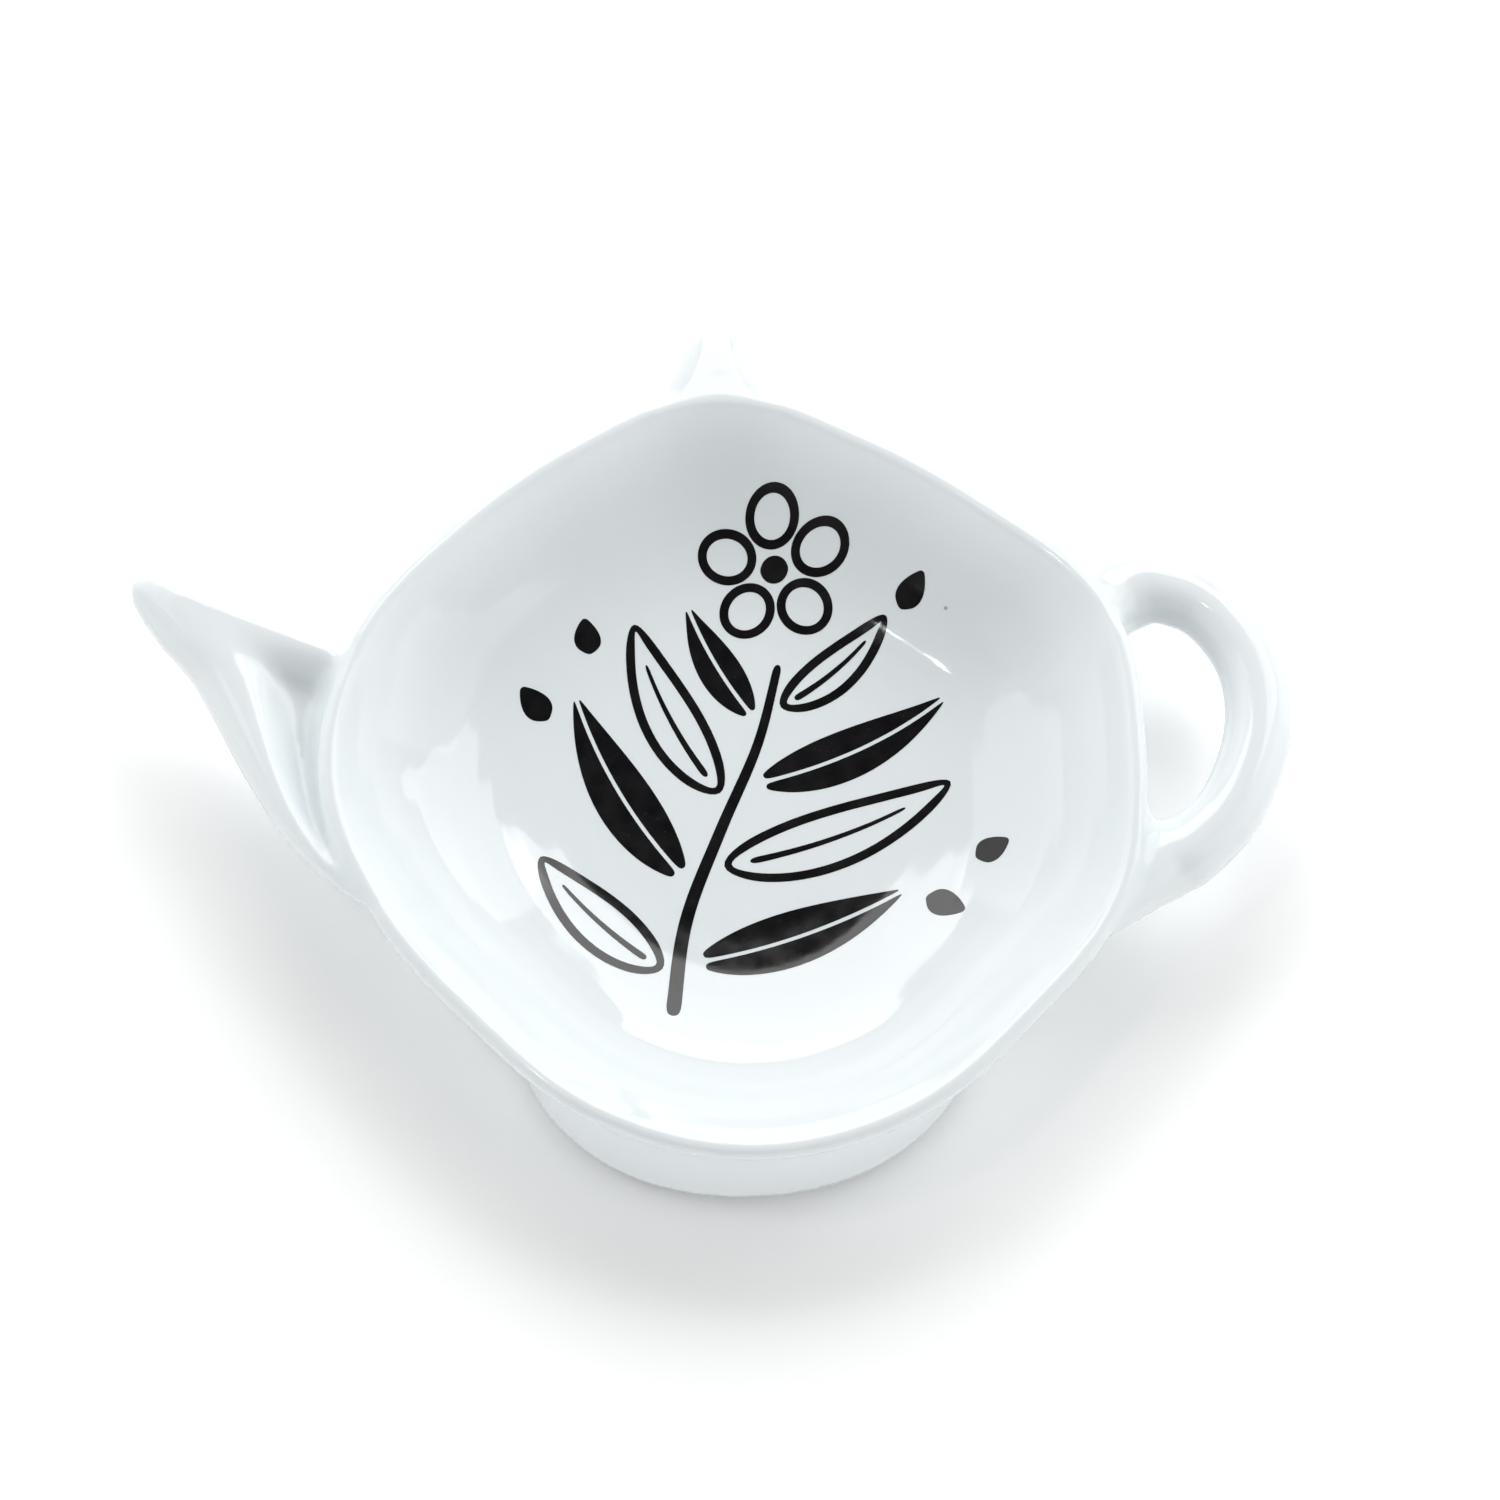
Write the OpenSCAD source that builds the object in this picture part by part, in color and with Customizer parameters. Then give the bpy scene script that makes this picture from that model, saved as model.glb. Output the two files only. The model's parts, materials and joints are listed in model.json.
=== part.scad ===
// Tea bag rest: a shallow porcelain dish in the outline of a teapot that lies flat.
// The well takes the wet bag, the spout is a smaller hollow beside it, the handle is a round loop,
// the lid's knob is a tab at the back and the pot's base is a skirt under the front of the rim.
// The body's centre is the working origin, and place() moves everything to the middle of its own box.

/* [Body] */
// Half width of the body, to the crest of the rim
body_r = 40.6; // [37:0.2:46]
// Height of the rim's crest above the table
rim_h = 16; // [14:0.5:20]
// Radius of the rolled rim, half the thickness of the wall
roll_r = 1.1; // [0.9:0.05:1.6]
// Lean of the wall from upright under the rim, in degrees
wall_lean = 38; // [30:1:44]
// Height of the well's lowest point above the table
well_z = 4.2; // [3.6:0.1:6]

/* [Foot ring] */
// Outer radius of the foot ring
foot_r = 24; // [19:0.5:27]
// Width of the ground face that the dish rests on
foot_w = 2.2; // [1.6:0.1:4]
// Height of the foot ring
foot_h = 1.5; // [1:0.1:2.2]

/* [Pot base] */
// Half width of the base in plan
base_half_w = 23.8; // [21:0.5:28]
// How far the base's face stays behind the outer edge of the rim
base_inset = 1.2; // [1:0.1:4]
// Thickness of the base's skirt
base_wall = 3; // [2:0.1:4]
// Gap between the skirt's edge and the table
base_lift = 1; // [0.6:0.1:2]

/* [Spout] */
// Length of the spout beyond the rim
spout_len = 24.1; // [18:0.5:30]
// Thickness of the spout where it leaves the body
spout_depth = 9; // [7:0.2:10.4]
// Depth of the hollow in the spout
hollow_depth = 3; // [1.6:0.2:5.4]

/* [Handle] */
// Thickness of the loop
loop_d = 6.9; // [5.5:0.1:7.8]
// Distance from the rim's crest out to the middle of the loop
loop_out = 13; // [11:0.5:18]
// Half the height of the loop in plan, to its middle
loop_half = 15.6; // [14:0.2:18]
// Height of the loop's middle above the table
loop_z = 11.5; // [9:0.1:11.8]

/* [Lid knob] */
// Length of the knob beyond the rim
knob_len = 8.5; // [5:0.1:11]
// Half width of the knob where it leaves the rim
knob_half_w = 5.9; // [4:0.2:8]
// Thickness of the knob
knob_t = 5.6; // [4:0.2:6]

/* [Print] */
// Half the length of the printed sprig
sprig_half = 28; // [20:0.5:29]
// Width of the drawn lines
line_w = 0.95; // [0.6:0.05:1.2]
// Thickness of the fired print over the glaze
film_t = 0.14; // [0.1:0.02:0.3]

/* [Hidden] */
glaze = "#F3F8F7";
biscuit = "#EDE7DA";
ink = "#0C0B0D";

// Radii of the rim's crest at equal angles from +X, as shares of body_r
rim_shares = [1, 1.022, 0.946, 0.95, 1.02, 0.953, 0.937, 0.985, 1, 0.95, 0.926, 0.985, 1.029, 1.022, 0.986,
    1.018];
around_count = 96;
wall_shares = [0, 0.16, 0.31, 0.45, 0.58, 0.7, 0.81, 0.91];
well_shares = [1, 0.955, 0.905, 0.85, 0.79, 0.73, 0.67, 0.61, 0.54, 0.46, 0.36, 0.24, 0.1];
roll_steps = 9;

// Faces of the wall where it meets the roll, worked out so that both run smoothly into it
roll_z = rim_h - roll_r;
wall_out = roll_r * cos(wall_lean);
wall_top_z = roll_z - roll_r * sin(wall_lean);
well_top_z = roll_z + roll_r * sin(wall_lean);
wall_power = tan(90 - wall_lean) * (body_r + wall_out - foot_r) / (wall_top_z - foot_h);
well_power = tan(90 - wall_lean) * (body_r - wall_out) / (well_top_z - well_z);
foot_taper = foot_w / 4;

// Spout stations: angles in the plan at the wall and at the lip, then shares of spout_len, spout_depth and
// hollow_depth
spout_station_shares = [[160.3, 157.7, 0.855, 0.3, 0], [160.4, 158.2, 0.95, 0.42, 0],
    [160.6, 159, 0.99, 0.54, 0], [161.1, 160.3, 0.965, 0.68, 0.02], [162.2, 162, 0.88, 0.8, 0.16],
    [163.7, 163.7, 0.79, 0.9, 0.5], [165.2, 165.3, 0.69, 0.96, 0.84], [167.2, 167.2, 0.594, 1, 1],
    [171.2, 171.2, 0.468, 1, 1],
    [176.2, 176.2, 0.352, 0.98, 0.98], [181.2, 181.2, 0.262, 0.92, 0.86], [186.2, 186.2, 0.192, 0.8, 0.6],
    [191, 191, 0.128, 0.62, 0.28], [195.6, 195.6, 0.066, 0.42, 0.07], [199.6, 199.6, 0.02, 0.2, 0],
    [201.4, 201.4, 0.004, 0.1, 0]];
spout_between_steps = 2;
// Across the spout: places along its top from the wall to the crest, and how deep the hollow is there
hollow_cross_shares = [[0, 0.16], [0.05, 0.6], [0.12, 0.92], [0.2, 1], [0.29, 0.92], [0.39, 0.6], [0.49, 0.2],
    [0.58, 0]];
nose_share = 0.36;
nose_steps = 4;
under_steps = 6;
seat_steps = 7;
spout_seat_angle = 10;

// Handle: points of its centre line, across from the rim's crest and along from the loop's middle
loop_mid = 3.8;
loop_path_shares = [[0.054, 0.975], [0.24, 1], [0.65, 0.85], [0.96, 0.44], [0.985, -0.08], [0.74, -0.59],
    [0.4, -0.885], [0.21, -0.945]];
loop_width_shares = [1.22, 1.06, 1, 1, 1, 1, 1.06, 1.22];
loop_side_count = 20;
loop_between_steps = 4;
// Where the loop's ends sit on the wall: middle and half width as angles in the plan
loop_start = [24.2, -7.5];
loop_end = [-18.4, 15.2];
loop_flare_share = 1.12;
seat_ring_shares = [0.12, 0.4, 0.72, 1];

// Pot base: an arc of an ellipse whose middle lies in front of the body's centre
base_mid = body_r / 2;
base_x = body_r / 80;
base_square_share = 0.94;
base_front = rim_r(270) + roll_r - base_inset;
base_end_angle = 12;
base_steps = 36;
base_edge_r = base_wall / 4;
base_end_share = 0.14;

// Knob: places along it and its width there
knob_shares = [[0, 1], [0.14, 0.89], [0.28, 0.79], [0.47, 0.665], [0.66, 0.55], [0.81, 0.45], [0.9, 0.36],
    [0.955, 0.26], [0.985, 0.155], [0.998, 0.05]];
knob_seat_share = 1.18;
knob_lean_share = 0.06;
knob_side_count = 20;
knob_square_share = 0.8;
knob_mid_z = rim_h - knob_t / 2 - roll_r / 4;

// Sprig: stem, leaves and flower as shares of sprig_half about the middle of the print
film_bed = film_t / 3;
print_x = body_r / 16;
print_y = body_r / 12;
stem_shares = [[-0.34, -0.96], [-0.28, -0.58], [-0.14, -0.22], [0.01, 0.12], [0.1, 0.44]];
stem_steps = 24;
// Each leaf: place along the stem, side, spread in degrees, length, half width and bend in degrees
solid_leaf_shares = [[0.55, -1, 74, 0.82, 0.11, 10], [2.5, -1, 54, 0.78, 0.1, 12],
    [1.35, 1, 60, 0.84, 0.11, -12], [3.2, 1, 52, 0.5, 0.08, -8]];
outline_leaf_shares = [[1.58, -1, 60, 0.92, 0.11, 12], [3.38, -1, 48, 0.52, 0.075, 12],
    [0.42, 1, 62, 0.64, 0.1, -12], [2.28, 1, 60, 0.76, 0.1, -12]];
leaf_start_share = 1.65;
leaf_steps = 10;
vein_share = 0.42;
rib_reach_share = 0.78;
petal_count = 5;
petal_share = 0.19;
petal_half_share = 0.085;
flower_share = 0.8;
flower_core_share = 0.052;
// Each bud: middle and direction in degrees, then its length and half width
bud_shares = [[0.66, -0.56, -28, 0.15, 0.055], [0.84, -0.36, 24, 0.13, 0.05], [-0.8, 0.3, 128, 0.15, 0.055],
    [-0.6, 0.56, 96, 0.13, 0.05], [0.6, 0.66, 52, 0.14, 0.052]];
bud_steps = 7;

function wrap(i, n) = (i % n + n) % n;
function blend(a, b, c, d, t) =
    (2 * b + (c - a) * t + (2 * a - 5 * b + 4 * c - d) * t * t + (3 * b - a - 3 * c + d) * t * t * t) / 2;

// A smooth closed curve through the values of a list, one value to each unit of u
function closed_at(v, u) =
    let (n = len(v), i = floor(u))
    blend(v[wrap(i - 1, n)], v[wrap(i, n)], v[wrap(i + 1, n)], v[wrap(i + 2, n)], u - i);

// A smooth open curve through the values of a list
function open_at(v, u) =
    let (n = len(v), i = max(0, min(floor(u), n - 2)))
    let (before = i > 0 ? v[i - 1] : 2 * v[0] - v[1])
    let (after = i + 2 < n ? v[i + 2] : 2 * v[n - 1] - v[n - 2])
    blend(before, v[i], v[i + 1], after, u - i);

// Points round an oval of half size 1; a squareness under 1 fills its corners
function oval(k, count, squareness) =
    let (x = cos(360 * k / count), y = sin(360 * k / count))
    [sign(x) * pow(abs(x), squareness), sign(y) * pow(abs(y), squareness)];

function unit(v) = v / norm(v);
function across(v) = [v[1], -v[0]];
function polar(a, rz) = [rz[0] * cos(a), rz[0] * sin(a), rz[1]];

// The crest's radius at an angle of the plan
function rim_r(a) = body_r * closed_at(rim_shares, wrap(a, 360) * len(rim_shares) / 360);

// Points of the body's section at an angle: outer wall, rolled rim and well
function wall_point(a, share) =
    [foot_r + (rim_r(a) + wall_out - foot_r) * share, foot_h + (wall_top_z - foot_h) * pow(share, wall_power)];
function roll_point(a, turn) = [rim_r(a) + roll_r * cos(turn), roll_z + roll_r * sin(turn)];
function well_point(a, share) =
    [(rim_r(a) - wall_out) * share, well_z + (well_top_z - well_z) * pow(share, well_power)];

// Radius of the outer face at a height, and height of the outer face at a radius
function wall_r(a, z) =
    z > wall_top_z
        ? rim_r(a) + sqrt(max(0, roll_r * roll_r - (z - roll_z) * (z - roll_z)))
        : foot_r + (rim_r(a) + wall_out - foot_r) * pow((z - foot_h) / (wall_top_z - foot_h), 1 / wall_power);
function wall_z(a, r) =
    let (share = (r - foot_r) / (rim_r(a) + wall_out - foot_r))
    foot_h + (wall_top_z - foot_h) * pow(max(0, min(1, share)), wall_power);

// Height of the well at a point of the plan
function well_z_at(p) = well_point(atan2(p[1], p[0]), norm(p) / (rim_r(atan2(p[1], p[0])) - wall_out))[1];

// A closed skin over rings with equal counts of points; each end is closed across from point to point
module loft(rings, closed = false) {
    n = len(rings[0]);
    count = len(rings);
    sides = [for (i = [0 : count - (closed ? 1 : 2)]) for (j = [0 : n - 1])
        let (a = i * n + j, b = i * n + (j + 1) % n)
        let (c = ((i + 1) % count) * n + (j + 1) % n, d = ((i + 1) % count) * n + j)
        each [[a, c, b], [a, d, c]]];
    last = (count - 1) * n;
    ends = closed ? [] : [for (j = [0 : n / 2 - 2])
        each [[j, j + 1, n - 1 - j], [j + 1, n - 2 - j, n - 1 - j],
              [last + j, last + n - 1 - j, last + j + 1], [last + j + 1, last + n - 1 - j, last + n - 2 - j]]];
    polyhedron(points = [for (r = rings) each r], faces = concat(sides, ends));
}

module place() {
    translate([-box_mid_x, -box_mid_y, 0]) children();
}

// Body

function body_ring(points) = [for (i = [0 : around_count - 1]) polar(i * 360 / around_count, points[i])];
function ring_angles() = [for (i = [0 : around_count - 1]) i * 360 / around_count];
body_rings = concat(
    [for (s = wall_shares) body_ring([for (a = ring_angles()) wall_point(a, s)])],
    [for (k = [0 : roll_steps - 1])
        body_ring([for (a = ring_angles()) roll_point(a, -wall_lean + 180 * k / roll_steps)])],
    [for (s = well_shares) body_ring([for (a = ring_angles()) well_point(a, s)])]);

module dish() {
    color(glaze) place() loft(body_rings);
}

module foot_ring() {
    color(biscuit) place() rotate_extrude($fn = 96)
        polygon([[foot_r - foot_w - foot_taper, foot_h], [foot_r - foot_w, 0], [foot_r - foot_taper, 0],
            [foot_r, foot_h]]);
}

// Pot base: a skirt whose back follows the outer wall of the body

function base_point(turn) =
    let (o = oval(turn, 360, base_square_share))
    [base_x + base_half_w * o[0], (base_front - base_mid) * o[1] - base_mid];
function base_ring(turn, share) =
    let (p = base_point(turn), a = atan2(p[1], p[0]), r = norm(p))
    let (end = max(0, (abs(2 * share - 1) - 1 + base_end_share) / base_end_share))
    let (t = base_wall * sqrt(max(0.04, 1 - end * end)), e = min(base_edge_r, t / 4))
    let (top = wall_z(a, r), back = wall_z(a, r - t))
    [for (q = concat(
        [for (k = [0 : 3]) [r, top + (base_lift + e - top) * k / 3]],
        [[r - e / 3, base_lift + e / 3], [r - e, base_lift], [r - t + e, base_lift], [r - t, base_lift + e]],
        [for (k = [0 : 3]) let (z = back + (top - back) * k / 4) [wall_r(a, z), z]]))
        polar(a, q)];
base_rings = [for (i = [0 : base_steps])
    base_ring(180 + base_end_angle + (180 - 2 * base_end_angle) * i / base_steps, i / base_steps)];

module pot_base() {
    color(glaze) place() loft(base_rings);
}

// Spout: radial sections that stand on the wall and fan out to the lip

function spout_ring(s) =
    let (a = s[0], seat = roll_point(a, spout_seat_angle), edge_r = rim_r(s[1]) + roll_r + spout_len * s[2])
    let (thick = spout_depth * s[3], low_z = seat[1] - thick)
    let (nose_w = (edge_r - seat[0]) * nose_share, nose_z = seat[1] - thick * nose_share)
    let (low_r = wall_r(a, low_z))
    let (top = [for (h = hollow_cross_shares)
        [seat[0] + (edge_r - seat[0]) * h[0], seat[1] - hollow_depth * s[4] * h[1]]])
    let (nose = [for (k = [0 : nose_steps]) let (t = 90 * k / nose_steps)
        [edge_r - nose_w * (1 - sin(t)), nose_z + (seat[1] - nose_z) * cos(t)]])
    let (under = [for (k = [1 : under_steps]) let (t = 90 * k / under_steps)
        [low_r + (edge_r - low_r) * cos(t), nose_z - (nose_z - low_z) * sin(t)]])
    let (back = [for (k = [1 : seat_steps]) let (z = low_z + thick * k / (seat_steps + 1)) [wall_r(a, z), z]])
    [for (q = concat(top, nose, under, back))
        polar(a + (s[1] - a) * max(0, q[0] - seat[0]) / (edge_r - seat[0]), q)];
spout_rings = [for (i = [0 : (len(spout_station_shares) - 1) * spout_between_steps])
    spout_ring(open_at(spout_station_shares, i / spout_between_steps))];

module spout() {
    color(glaze) place() loft(spout_rings);
}

// Rings on the outer wall from the middle of a seat out to its edge; at holds the middle and half width as
// angles, heights the middle and half height
function seat_rings(at, heights, count, squareness) = [for (share = seat_ring_shares)
    [for (k = [0 : count - 1])
        let (o = oval(k, count, squareness) * share, a = at[0] + at[1] * o[0], z = heights[0] + heights[1] * o[1])
        polar(a, [wall_r(a, z), z])]];
function reversed(v) = [for (i = [len(v) - 1 : -1 : 0]) v[i]];

// Handle: a round loop whose ends swell and sit on the wall

loop_path = [for (s = loop_path_shares) [body_r + loop_out * s[0], loop_mid + loop_half * s[1]]];
loop_last = len(loop_path_shares) - 1;
loop_nudge = 1 / loop_between_steps / 2;
loop_heights = [loop_z, loop_d / 2 * loop_flare_share];
function loop_ring(u) =
    let (c = open_at(loop_path, u), half_w = loop_d / 2 * open_at(loop_width_shares, u))
    let (side = across(unit(open_at(loop_path, u + loop_nudge) - open_at(loop_path, u - loop_nudge))))
    [for (k = [0 : loop_side_count - 1]) let (o = oval(k, loop_side_count, 1))
        [c[0] + side[0] * half_w * o[0], c[1] + side[1] * half_w * o[0], loop_z + loop_d / 2 * o[1]]];
loop_rings = concat(seat_rings(loop_start, loop_heights, loop_side_count, 1),
    [for (i = [0 : loop_last * loop_between_steps]) loop_ring(i / loop_between_steps)],
    reversed(seat_rings(loop_end, loop_heights, loop_side_count, 1)));

module handle() {
    color(glaze) place() loft(loop_rings);
}

// Lid knob: a tapering tab with a round tip

knob_root = rim_r(90) + roll_r;
function knob_ring(s) =
    let (half_w = knob_half_w * s[1], half_h = knob_t / 2 * sqrt(1 - pow(s[0], 5)))
    [for (k = [0 : knob_side_count - 1]) let (o = oval(k, knob_side_count, knob_square_share))
        [knob_len * knob_lean_share * s[0] + half_w * o[0], knob_root + knob_len * s[0],
         knob_mid_z + half_h * o[1]]];
knob_rings = concat(
    seat_rings([90, -asin(knob_half_w * knob_seat_share / body_r)], [knob_mid_z, knob_t / 2], knob_side_count,
        knob_square_share),
    [for (s = knob_shares) knob_ring(s)]);

module lid_knob() {
    color(glaze) place() loft(knob_rings);
}

// Print: strips of fired colour that lie on the well

function film_ring(c, side, half, count) =
    let (rows = [for (k = [0 : count]) c + side * half * (2 * k / count - 1)])
    concat([for (p = rows) [p[0], p[1], well_z_at(p) + film_t]],
        [for (k = [count : -1 : 0]) [rows[k][0], rows[k][1], well_z_at(rows[k]) - film_bed]]);

// One strip along points of the plan, each with its own half width
module film(points, halves, count, closed = false) {
    n = len(points);
    loft([for (i = [0 : n - 1])
        let (before = points[closed ? wrap(i - 1, n) : max(0, i - 1)])
        let (after = points[closed ? wrap(i + 1, n) : min(n - 1, i + 1)])
        film_ring(points[i], across(unit(after - before)), halves[i], count)], closed);
}

function sprig_point(p) = [print_x + sprig_half * p[0], print_y + sprig_half * p[1]];
function stem_at(u) = sprig_point(open_at(stem_shares, u));
function heading(v) = atan2(v[1], v[0]);
function direction(a) = [cos(a), sin(a)];
stem_last = len(stem_shares) - 1;
stem_nudge = 1 / stem_steps;

// The middle rib of a leaf, and its half width, at a share of its length
function leaf_turn(leaf) =
    heading(stem_at(leaf[0] + stem_nudge) - stem_at(leaf[0] - stem_nudge)) + leaf[1] * leaf[2];
function leaf_rib(leaf, t) =
    let (a = leaf_turn(leaf), foot = stem_at(leaf[0]) + direction(a) * line_w * leaf_start_share)
    foot + direction(a + leaf[5] * t) * sprig_half * leaf[3] * t;
function leaf_side(leaf, t) = across(unit(leaf_rib(leaf, t + stem_nudge) - leaf_rib(leaf, t - stem_nudge)));
function leaf_half(leaf, t) = sprig_half * leaf[4] * pow(sin(180 * pow(t, 0.8)), 0.85);

module print_stem() {
    color(ink) place() film([for (i = [0 : stem_steps]) stem_at(stem_last * i / stem_steps)],
        [for (i = [0 : stem_steps]) line_w * (0.8 - 0.35 * i / stem_steps)], 1);
}

module solid_blade(leaf, hand) {
    vein = line_w * vein_share / 2;
    steps = [for (i = [0 : leaf_steps]) 0.05 + 0.92 * i / leaf_steps];
    halves = [for (t = steps) max(line_w / 10, (leaf_half(leaf, t) - vein) / 2)];
    film([for (i = [0 : leaf_steps])
        leaf_rib(leaf, steps[i]) + leaf_side(leaf, steps[i]) * hand * (vein + halves[i])], halves, 2);
}

module print_solid_leaves() {
    color(ink) place() for (leaf = solid_leaf_shares) for (hand = [-1, 1]) solid_blade(leaf, hand);
}

module outline_leaf(leaf) {
    edge = concat(
        [for (i = [0 : leaf_steps - 1]) let (t = i / leaf_steps)
            leaf_rib(leaf, t) + leaf_side(leaf, t) * leaf_half(leaf, t)],
        [for (i = [leaf_steps : -1 : 1]) let (t = i / leaf_steps)
            leaf_rib(leaf, t) - leaf_side(leaf, t) * leaf_half(leaf, t)]);
    film(edge, [for (p = edge) line_w / 2], 1, true);
    rib = [for (i = [0 : leaf_steps]) 0.12 + (rib_reach_share - 0.12) * i / leaf_steps];
    film([for (t = rib) leaf_rib(leaf, t)], [for (t = rib) line_w * (0.42 - 0.3 * t)], 1);
}

module print_outline_leaves() {
    color(ink) place() for (leaf = outline_leaf_shares) outline_leaf(leaf);
}

flower_mid = sprig_point([stem_shares[stem_last][0], flower_share]);
function petal_edge(turn, t) =
    let (out = sprig_half * (flower_core_share + petal_share * (1 - cos(t)) / 2) + line_w)
    flower_mid + direction(turn) * out + across(direction(turn)) * sprig_half * petal_half_share * sin(t);

module print_blossom() {
    color(ink) place() {
        for (i = [0 : petal_count - 1])
            film([for (k = [0 : 15]) petal_edge(90 + 360 * i / petal_count, 360 * k / 16)],
                [for (k = [0 : 15]) line_w / 2], 1, true);
        core = sprig_half * flower_core_share;
        film([for (k = [0 : 6]) flower_mid - [core * cos(10 + 160 * k / 6), 0]],
            [for (k = [0 : 6]) core * sin(10 + 160 * k / 6)], 3);
    }
}

module print_buds() {
    color(ink) place() for (b = bud_shares) {
        mid = sprig_point([b[0], b[1]]);
        film([for (k = [0 : bud_steps]) mid + direction(b[2]) * sprig_half * b[3] * (k / bud_steps - 0.5)],
            [for (k = [0 : bud_steps]) sprig_half * b[4] * pow(sin(6 + 168 * pow(k / bud_steps, 0.75)), 0.8)], 2);
    }
}

// The box of the whole object, which place() centres on the origin
spout_xs = [for (r = spout_rings) for (p = r) p[0]];
loop_xs = [for (r = loop_rings) for (p = r) p[0]];
body_ys = [for (r = body_rings) for (p = r) p[1]];
knob_ys = [for (r = knob_rings) for (p = r) p[1]];
box_mid_x = (min(spout_xs) + max(loop_xs)) / 2;
box_mid_y = (min(body_ys) + max(knob_ys)) / 2;

dish();
foot_ring();
pot_base();
spout();
handle();
lid_knob();
print_stem();
print_solid_leaves();
print_outline_leaves();
print_blossom();
print_buds();
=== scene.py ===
# %% [markdown]
# # A teapot-shaped rest for a used tea bag
# The real object is one casting of porcelain: a shallow dish with a spout, a loop handle and a lid knob,
# on a low base with a bare foot. Clear glaze runs over all of it, and a black sprig is fired on in the well.
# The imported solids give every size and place. This script gives them the glazed skin, the print and the light.

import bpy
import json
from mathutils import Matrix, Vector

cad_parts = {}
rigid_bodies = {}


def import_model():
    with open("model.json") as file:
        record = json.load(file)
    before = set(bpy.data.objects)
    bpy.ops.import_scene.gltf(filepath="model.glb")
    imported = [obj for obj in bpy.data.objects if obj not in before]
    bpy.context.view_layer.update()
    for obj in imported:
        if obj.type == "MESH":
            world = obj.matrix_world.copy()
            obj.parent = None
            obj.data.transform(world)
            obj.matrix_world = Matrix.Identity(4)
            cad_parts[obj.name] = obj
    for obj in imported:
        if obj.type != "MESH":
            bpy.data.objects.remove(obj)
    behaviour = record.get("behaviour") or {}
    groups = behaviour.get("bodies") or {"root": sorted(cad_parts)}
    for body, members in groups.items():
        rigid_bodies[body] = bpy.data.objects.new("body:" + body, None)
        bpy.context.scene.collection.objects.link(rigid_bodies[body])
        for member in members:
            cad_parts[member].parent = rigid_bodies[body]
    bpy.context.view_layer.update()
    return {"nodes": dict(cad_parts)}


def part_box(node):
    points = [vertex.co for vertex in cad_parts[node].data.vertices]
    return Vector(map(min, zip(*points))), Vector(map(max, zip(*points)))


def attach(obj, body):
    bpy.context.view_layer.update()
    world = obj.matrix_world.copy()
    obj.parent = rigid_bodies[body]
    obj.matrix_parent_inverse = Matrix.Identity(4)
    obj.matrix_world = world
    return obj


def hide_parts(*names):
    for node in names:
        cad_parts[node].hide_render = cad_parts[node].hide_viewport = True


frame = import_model()

# %% [markdown]
# ## The camera
# The photograph looks down at about 65 degrees from a little left of the front, through a long lens, so the
# far rim is hardly smaller than the near one. The distance and the lens come from how the rim's ellipse lies.

# %% Place the camera
import math

import bpy
from mathutils import Vector

MM = 0.001
foot_low, foot_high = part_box("foot_ring")
dish_middle = (foot_low + foot_high) / 2
aim_right, aim_back, aim_height = 1.94 * MM, 4.45 * MM, 8 * MM
look_at = Vector((dish_middle.x + aim_right, dish_middle.y + aim_back, aim_height))
height_angle, side_angle, distance = math.radians(65), math.radians(2.4), 0.6
towards_camera = Vector((-math.sin(side_angle) * math.cos(height_angle),
                         -math.cos(side_angle) * math.cos(height_angle), math.sin(height_angle)))
camera = bpy.data.objects.new("camera", bpy.data.cameras.new("camera"))
bpy.context.scene.collection.objects.link(camera)
camera.location = look_at + towards_camera * distance
camera.rotation_euler = (-towards_camera).to_track_quat("-Z", "Y").to_euler()
camera.data.sensor_width, camera.data.lens = 36, 141.26
camera.data.clip_start, camera.data.clip_end = 0.01, 20
bpy.context.scene.camera = camera
print("camera at", tuple(round(v, 4) for v in camera.location))

# %% [markdown]
# ## Copies to work on
# Loading leaves every solid selected, and an operator acts on all that is selected, so each step first puts
# everything down and picks up one piece. The solids are loose triangles. Each copy is merged at its doubled
# points, or a later step would treat every triangle as a sheet of its own.

# %% Pick up one piece, copy one solid
bpy.context.tool_settings.mesh_select_mode = (False, False, True)
same_point = 0.002 * MM


def put_all_down():
    for other in bpy.context.view_layer.objects:
        other.select_set(False)


def pick_up(piece):
    put_all_down()
    piece.select_set(True)
    bpy.context.view_layer.objects.active = piece


def copy_of(solid, name):
    piece = bpy.data.objects.new(name, frame["nodes"][solid].data.copy())
    bpy.context.scene.collection.objects.link(piece)
    piece.data.materials.clear()
    pick_up(piece)
    bpy.ops.object.mode_set(mode="EDIT")
    bpy.ops.mesh.select_all(action="SELECT")
    bpy.ops.mesh.remove_doubles(threshold=same_point)
    bpy.ops.object.mode_set(mode="OBJECT")
    return piece


print("points closer than", same_point / MM, "mm are merged")

# %% [markdown]
# ## One glazed skin
# On the real piece nothing is assembled: the spout, the handle and the knob are cast with the dish, and
# the glaze closes every inner corner. A boolean union would leave a hard line at each root, so the copies
# are joined and remeshed as one body, which drops what lies inside and makes even faces all over.

# %% Join the clay forms and remesh them
clay_forms = ["dish", "pot_base", "spout", "handle", "lid_knob"]
clay = {form: copy_of(form, "clay_" + form) for form in clay_forms}
grain = 0.46 * MM

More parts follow.
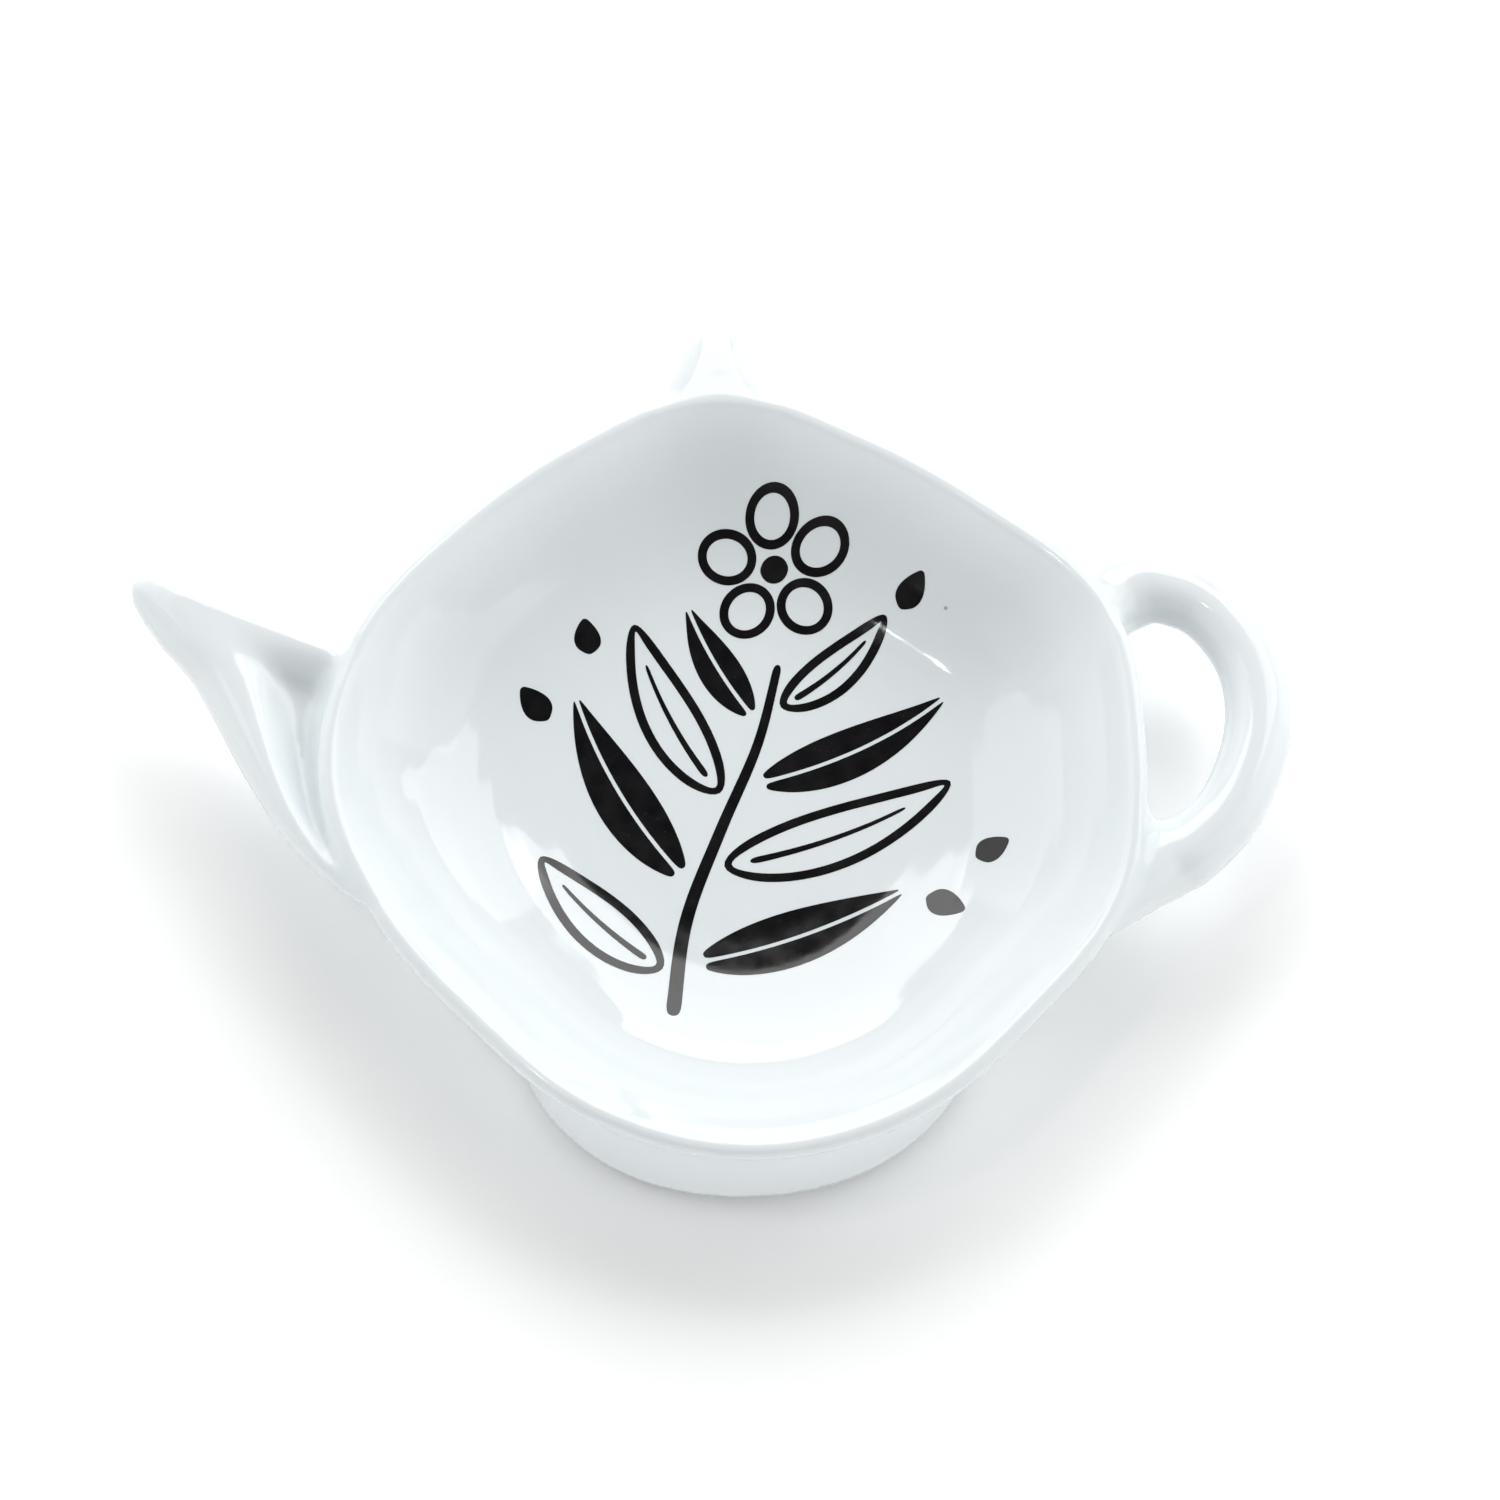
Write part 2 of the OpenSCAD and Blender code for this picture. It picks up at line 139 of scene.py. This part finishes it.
skin = copy_of("dish", "glazed_body")
for form in clay_forms[1:]:
    lump = copy_of(form, "lump_" + form)
    pick_up(skin)
    lump.select_set(True)
    bpy.ops.object.join()
remesh = skin.modifiers.new("even faces", "REMESH")
remesh.mode, remesh.voxel_size, remesh.use_smooth_shade = "VOXEL", grain, True
pick_up(skin)
bpy.ops.object.modifier_apply(modifier=remesh.name)
print("skin faces:", len(skin.data.polygons))

# %% [markdown]
# ## Wash the surface
# A potter wipes a dry casting with a wet sponge, which takes off facets and seams but keeps the form. Plain
# smoothing would also shrink the thin rolled rim. So each pass smooths, and then unsmooths a little more:
# the small steps go, and the roll keeps its radius.

# %% Smooth and unsmooth
washes = 34
for wash in range(washes):
    for part, factor in (("wipe", 0.8), ("swell", -0.85)):
        sponge = skin.modifiers.new(part, "SMOOTH")
        sponge.factor, sponge.iterations = factor, 1
        bpy.ops.object.modifier_apply(modifier=sponge.name)
print("washed", washes, "times, box", [round(v / MM, 2) for v in skin.dimensions])

# %% [markdown]
# ## Let the glaze run into the joints
# Where two forms meet, slip and glaze fill the corner to a small fillet. The points that lie close to two
# of the clay forms are found with a tree of each form, and only those are smoothed further. The same
# closeness is kept on the mesh, so that the glaze can be a little deeper in colour there.

# %% Measure how near each point is to a joint
from mathutils.bvhtree import BVHTree

trees = {}
for form, piece in clay.items():
    points = [v.co.copy() for v in piece.data.vertices]
    trees[form] = BVHTree.FromPolygons(points, [tuple(p.vertices) for p in piece.data.polygons])
fillet_reach, search_reach = 2 * MM, 10 * MM
closeness = []
for v in skin.data.vertices:
    gaps = sorted(tree.find_nearest(v.co, search_reach)[3] or search_reach for tree in trees.values())
    closeness.append(max(0.0, 1 - gaps[1] / fillet_reach))
joints = skin.vertex_groups.new(name="joints")
for index, near in enumerate(closeness):
    if near > 0:
        joints.add([index], near, "REPLACE")
print("points near a joint:", sum(near > 0 for near in closeness), "of", len(closeness))

# %% Fill the joints
fill = skin.modifiers.new("fillet", "SMOOTH")
fill.factor, fill.iterations, fill.vertex_group = 0.5, 30, "joints"
pick_up(skin)
bpy.ops.object.modifier_apply(modifier=fill.name)
pool = skin.data.attributes.new("pool", "FLOAT", "POINT")
pool.data.foreach_set("value", closeness)
for piece in clay.values():
    bpy.data.objects.remove(piece)
bpy.ops.object.shade_smooth()
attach(skin, "root")
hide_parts(*clay_forms)
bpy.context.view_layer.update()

# %% [markdown]
# ## The bare foot
# The ring that it stands on is wiped clean of glaze, so that it doesn't stick to the kiln shelf, and is
# rubbed on a stone after firing. It starts as a drum: both ends are inset to the ring's width, the middles
# are taken out and the two inner edges bridged. A small bevel is the worn edge.

# %% Turn the foot ring
ring_out = (foot_high.x - foot_low.x) / 2
ring_width, ring_high, ring_sides = 2.2 * MM, foot_high.z - foot_low.z, 144
lies_flat = 0.9
put_all_down()
bpy.ops.mesh.primitive_cylinder_add(vertices=ring_sides, radius=ring_out, depth=ring_high,
                                    location=(dish_middle.x, dish_middle.y, ring_high / 2))
foot = bpy.context.active_object
foot.name = foot.data.name = "bare_foot"
bpy.ops.object.transform_apply(location=True, rotation=True, scale=True)
bpy.ops.object.mode_set(mode="EDIT")
bpy.ops.mesh.select_all(action="DESELECT")
bpy.ops.object.mode_set(mode="OBJECT")
for face in foot.data.polygons:
    face.select = abs(face.normal.z) > lies_flat
bpy.ops.object.mode_set(mode="EDIT")
bpy.ops.mesh.inset(thickness=ring_width)
bpy.ops.mesh.delete(type="ONLY_FACE")
bpy.ops.mesh.select_mode(type="EDGE")
bpy.ops.mesh.select_all(action="DESELECT")
bpy.ops.mesh.select_non_manifold()
bpy.ops.mesh.bridge_edge_loops()
bpy.ops.mesh.select_mode(type="FACE")
bpy.ops.object.mode_set(mode="OBJECT")
print("ring faces:", len(foot.data.polygons), "outside radius", round(ring_out / MM, 2))

# %% Round its worn edges
worn = foot.modifiers.new("worn edge", "BEVEL")
worn.width, worn.segments = 0.35 * MM, 4
worn.limit_method, worn.angle_limit = "ANGLE", math.radians(40)
pick_up(foot)
bpy.ops.object.modifier_apply(modifier=worn.name)
bpy.ops.object.shade_smooth_by_angle(angle=math.radians(35))
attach(foot, "root")
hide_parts("foot_ring")
print("ring after bevel:", len(foot.data.polygons), "faces")

# %% [markdown]
# ## The printed sprig
# The black drawing is a transfer: a film of enamel a few hundredths of a millimetre thick that the glaze
# firing sinks into the surface. The solids hold it as thicker plates. Each plate's top is kept, cut finer,
# laid on the skin and given a film's thickness, so that it follows the bowl without a step.

# %% Lay each print on the skin
film_lift, film_thickness, faces_up = 0.02 * MM, 0.05 * MM, 0.5


def lay_print(solid, name):
    film = copy_of(solid, name)
    for face in film.data.polygons:
        face.select = face.normal.z < faces_up
    bpy.ops.object.mode_set(mode="EDIT")
    bpy.ops.mesh.delete(type="FACE")
    bpy.ops.object.mode_set(mode="OBJECT")
    rounded = film.modifiers.new("rounded outline", "SUBSURF")
    rounded.levels = rounded.render_levels = 2
    bpy.ops.object.modifier_apply(modifier=rounded.name)
    lay = film.modifiers.new("lay on skin", "SHRINKWRAP")
    lay.wrap_method, lay.wrap_mode = "NEAREST_SURFACEPOINT", "ABOVE_SURFACE"
    lay.target, lay.offset = skin, film_lift
    body = film.modifiers.new("enamel", "SOLIDIFY")
    body.thickness, body.offset = film_thickness, -1
    for step in (lay, body):
        bpy.ops.object.modifier_apply(modifier=step.name)
    bpy.ops.object.shade_smooth_by_angle(angle=math.radians(40))
    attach(film, "root")
    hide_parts(solid)
    print(name, len(film.data.polygons), "faces")
    return film


print_names = {"print_stem": "stem_print", "print_solid_leaves": "solid_leaf_print",
               "print_outline_leaves": "outline_leaf_print", "print_blossom": "blossom_print",
               "print_buds": "bud_print"}
prints = [lay_print(solid, name) for solid, name in print_names.items()]

# %% [markdown]
# ## The glaze
# Hard-paste porcelain under a clear glaze is white with a cool, faintly green cast. Light enters it a
# little way before it comes back, which softens the shading, and the surface has a slow waviness that
# bends reflections, finer orange-peel, and here and there a pin-sized speck from the kiln.

# %% Start a material
def new_finish(name):
    finish = bpy.data.materials.new(name)
    finish.use_nodes = True
    tree = finish.node_tree
    return finish, tree, tree.nodes["Principled BSDF"]


def add_node(tree, kind, **settings):
    node = tree.nodes.new(kind)
    for key, value in settings.items():
        setattr(node, key, value)
    return node


def place_noise(tree, place, scale, detail=2.0, roughness=0.5):
    noise = add_node(tree, "ShaderNodeTexNoise")
    noise.inputs["Scale"].default_value = scale
    noise.inputs["Detail"].default_value = detail
    noise.inputs["Roughness"].default_value = roughness
    tree.links.new(place.outputs["Object"], noise.inputs["Vector"])
    return noise


def spread(tree, source, low, high, out_low, out_high):
    step = add_node(tree, "ShaderNodeMapRange")
    for socket, value in zip(("From Min", "From Max", "To Min", "To Max"), (low, high, out_low, out_high)):
        step.inputs[socket].default_value = value
    tree.links.new(source, step.inputs["Value"])
    return step.outputs["Result"]


def blend_colour(tree, factor, first, second):
    mix = add_node(tree, "ShaderNodeMix", data_type="RGBA")
    for socket, value in ((mix.inputs["A"], first), (mix.inputs["B"], second)):
        if isinstance(value, tuple):
            socket.default_value = (*value, 1)
        else:
            tree.links.new(value, socket)
    tree.links.new(factor, mix.inputs["Factor"])
    return mix.outputs["Result"]


def combine(tree, operation, first, second):
    step = add_node(tree, "ShaderNodeMath", operation=operation)
    tree.links.new(first, step.inputs[0])
    tree.links.new(second, step.inputs[1])
    return step.outputs[0]


def add_bump(tree, height, strength, depth, under=None):
    bump = add_node(tree, "ShaderNodeBump")
    bump.inputs["Strength"].default_value, bump.inputs["Distance"].default_value = strength, depth
    tree.links.new(height, bump.inputs["Height"])
    if under is not None:
        tree.links.new(under, bump.inputs["Normal"])
    return bump.outputs["Normal"]


print("finish steps: noise, spread, blend, combine and bump")

# %% Mix the glaze
glaze, tree, shader = new_finish("clear_glaze")
place = add_node(tree, "ShaderNodeTexCoord")
cloud = place_noise(tree, place, 38, 3)
body_colour = blend_colour(tree, spread(tree, cloud.outputs["Fac"], 0.3, 0.7, 0, 1),
                           (0.85, 0.905, 0.925), (0.87, 0.92, 0.937))
near_joint = add_node(tree, "ShaderNodeAttribute", attribute_name="pool")
pooled = blend_colour(tree, spread(tree, near_joint.outputs["Fac"], 0, 1, 0, 0.55),
                      body_colour, (0.79, 0.87, 0.89))
print("glaze starts from", len(tree.nodes), "nodes")

# %% [markdown]
# ### Specks and waves
# A speck is where the distance to the nearest point of a sparse scatter is tiny, and a second noise lets
# only a few of them show. The waves are two noises in one bump, the slow one far stronger than the fine one.

# %% Add the specks
scatter = add_node(tree, "ShaderNodeTexVoronoi")
scatter.inputs["Scale"].default_value = 120
tree.links.new(place.outputs["Object"], scatter.inputs["Vector"])
pin = spread(tree, scatter.outputs["Distance"], 0.018, 0.03, 1, 0)
chosen = add_node(tree, "ShaderNodeSeparateColor")
tree.links.new(scatter.outputs["Color"], chosen.inputs["Color"])
few = spread(tree, chosen.outputs["Red"], 0.90, 0.93, 0, 0.6)
speckled = blend_colour(tree, combine(tree, "MULTIPLY", pin, few), pooled, (0.17, 0.15, 0.13))
tree.links.new(speckled, shader.inputs["Base Color"])
print("with specks:", len(tree.nodes), "nodes")

# %% Add the waves and the gloss
slow = place_noise(tree, place, 110, 2)
fine = place_noise(tree, place, 900, 2)
waves = add_bump(tree, slow.outputs["Fac"], 0.35, 0.05 * MM)
peel = add_bump(tree, fine.outputs["Fac"], 0.12, 0.004 * MM, under=waves)
tree.links.new(peel, shader.inputs["Normal"])
tree.links.new(spread(tree, cloud.outputs["Fac"], 0.3, 0.7, 0.045, 0.085), shader.inputs["Roughness"])
shader.inputs["IOR"].default_value = 1.5
shader.inputs["Subsurface Weight"].default_value = 0.12
shader.inputs["Subsurface Radius"].default_value = (1.0, 0.9, 0.8)
shader.inputs["Subsurface Scale"].default_value = 1.2 * MM
skin.data.materials.append(glaze)
print("glaze nodes:", len(tree.nodes))

# %% [markdown]
# ## The bare clay and the enamel
# Unglazed porcelain is matt, warmer and faintly sandy, and the ground ring has picked up a little grey from
# use. The enamel is a black that fires glossy; screen printing leaves it a shade thinner in places.

# %% Mix the bare clay
bare_clay, tree, shader = new_finish("bare_clay")
place = add_node(tree, "ShaderNodeTexCoord")
sand = place_noise(tree, place, 2600, 3, 0.7)
rubbed = place_noise(tree, place, 160, 3)
clay_colour = blend_colour(tree, spread(tree, rubbed.outputs["Fac"], 0.42, 0.7, 0, 1),
                           (0.84, 0.80, 0.70), (0.62, 0.59, 0.53))
sandy = blend_colour(tree, spread(tree, sand.outputs["Fac"], 0.35, 0.65, 0, 0.35),
                     clay_colour, (0.70, 0.64, 0.54))
tree.links.new(sandy, shader.inputs["Base Color"])
tree.links.new(spread(tree, rubbed.outputs["Fac"], 0.3, 0.7, 0.78, 0.6), shader.inputs["Roughness"])
tree.links.new(add_bump(tree, sand.outputs["Fac"], 0.6, 0.02 * MM), shader.inputs["Normal"])
foot.data.materials.append(bare_clay)
print("bare clay nodes:", len(tree.nodes))

# %% Mix the enamel
enamel, tree, shader = new_finish("black_enamel")
place = add_node(tree, "ShaderNodeTexCoord")
density = place_noise(tree, place, 420, 3)
mesh_dots = place_noise(tree, place, 3200, 1)
black = blend_colour(tree, spread(tree, density.outputs["Fac"], 0.35, 0.7, 0, 1),
                     (0.004, 0.004, 0.005), (0.010, 0.009, 0.010))
thinned = blend_colour(tree, spread(tree, mesh_dots.outputs["Fac"], 0.68, 0.8, 0, 0.35),
                       black, (0.05, 0.045, 0.045))
tree.links.new(thinned, shader.inputs["Base Color"])
tree.links.new(spread(tree, density.outputs["Fac"], 0.3, 0.7, 0.07, 0.12), shader.inputs["Roughness"])
tree.links.new(add_bump(tree, density.outputs["Fac"], 0.2, 0.01 * MM), shader.inputs["Normal"])
for film in prints:
    film.data.materials.append(enamel)
print("finishes:", glaze.name, bare_clay.name, enamel.name)

# %% [markdown]
# ## Table and backdrop
# A plain pale sheet. To the camera it is a step lighter than to the light that bounces from it, which
# makes the background white while the object's shadow stays on it.

# %% Lay the sheet
put_all_down()
bpy.ops.mesh.primitive_plane_add(size=6, location=(0, 0, 0))
sheet = bpy.context.active_object
sheet.name = "white_sheet"
paper, tree, shader = new_finish("white_paper")
bounced_white, seen_white = 0.94, 1.22
rays = add_node(tree, "ShaderNodeLightPath")
is_seen = combine(tree, "MAXIMUM", rays.outputs["Is Camera Ray"], rays.outputs["Is Glossy Ray"])
sheet_colour = blend_colour(tree, is_seen, (bounced_white,) * 3, (seen_white,) * 3)
tree.links.new(sheet_colour, shader.inputs["Base Color"])
shader.inputs["Roughness"].default_value = 1.0
shader.inputs["Specular IOR Level"].default_value = 0.0
sheet.data.materials.append(paper)
print("sheet:", sheet.name, tuple(round(v, 2) for v in sheet.dimensions), "m")

# %% [markdown]
# ## Light
# The picture was taken in a white tent that is bright low down, with its lamps behind and beside the dish
# and almost nothing overhead. So the near wall of the bowl is the brightest and the far wall the darkest, and
# the black print, which mirrors the part overhead, stays black. The sky here has the same shape: its strength
# falls with height, and it is a little fuller in front.

# %% Light the tent
tent = bpy.data.worlds.new("white_tent")
bpy.context.scene.world = tent
tent.use_nodes = True
tree = tent.node_tree
tree.nodes.clear()
way = add_node(tree, "ShaderNodeTexCoord")
upward = add_node(tree, "ShaderNodeSeparateXYZ")
tree.links.new(way.outputs["Generated"], upward.inputs[0])
low_sky = spread(tree, upward.outputs["Z"], 0.15, 0.55, 1.9, 0.3)
high_sky = spread(tree, upward.outputs["Z"], 0.55, 0.85, 0, -0.22)
fuller_in_front = spread(tree, upward.outputs["Y"], -1, 1, 1.2, 0.8)
sky = combine(tree, "MULTIPLY", combine(tree, "ADD", low_sky, high_sky), fuller_in_front)
rays = add_node(tree, "ShaderNodeLightPath")
strength = add_node(tree, "ShaderNodeMix")
tree.links.new(rays.outputs["Is Camera Ray"], strength.inputs["Factor"])
tree.links.new(sky, strength.inputs[2])
strength.inputs[3].default_value = 1
glow = add_node(tree, "ShaderNodeBackground")
tree.links.new(strength.outputs[0], glow.inputs["Strength"])
tree.links.new(glow.outputs[0], add_node(tree, "ShaderNodeOutputWorld").inputs["Surface"])
print("tent:", tent.name, "with", len(tree.nodes), "nodes")


# %% Hang the soft boxes
def soft_box(name, turn, rise, far, size, power):
    lamp = bpy.data.objects.new(name, bpy.data.lights.new(name, "AREA"))
    bpy.context.scene.collection.objects.link(lamp)
    turn, rise = math.radians(turn), math.radians(rise)
    way = Vector((math.sin(turn) * math.cos(rise), math.cos(turn) * math.cos(rise), math.sin(rise)))
    lamp.location = dish_middle + way * far
    lamp.rotation_euler = (-way).to_track_quat("-Z", "Y").to_euler()
    lamp.data.shape, lamp.data.energy = "RECTANGLE", power
    lamp.data.size, lamp.data.size_y = size
    print(name, power, "W")


# Name, degrees round from straight behind, degrees up, metres away, size in metres, watts.
for lamp_row in (("box_behind", 0, 44, 1.2, (0.8, 0.7), 6.5),
                 ("box_behind_right", 50, 40, 1.2, (0.7, 0.7), 3.6),
                 ("box_behind_left", -50, 40, 1.2, (0.7, 0.7), 2.0),
                 ("box_right", 95, 32, 1.2, (0.8, 0.8), 1.8),
                 ("box_left", -95, 32, 1.2, (0.8, 0.8), 1.0),
                 ("small_lamp", -89, 70.4, 1.0, (0.06, 0.04), 0.25)):
    soft_box(*lamp_row)

# %% [markdown]
# ## Finish
# The standard view writes a colour as it is.

# %% Set the view and finish
import json

bpy.context.scene.view_settings.view_transform = "Standard"
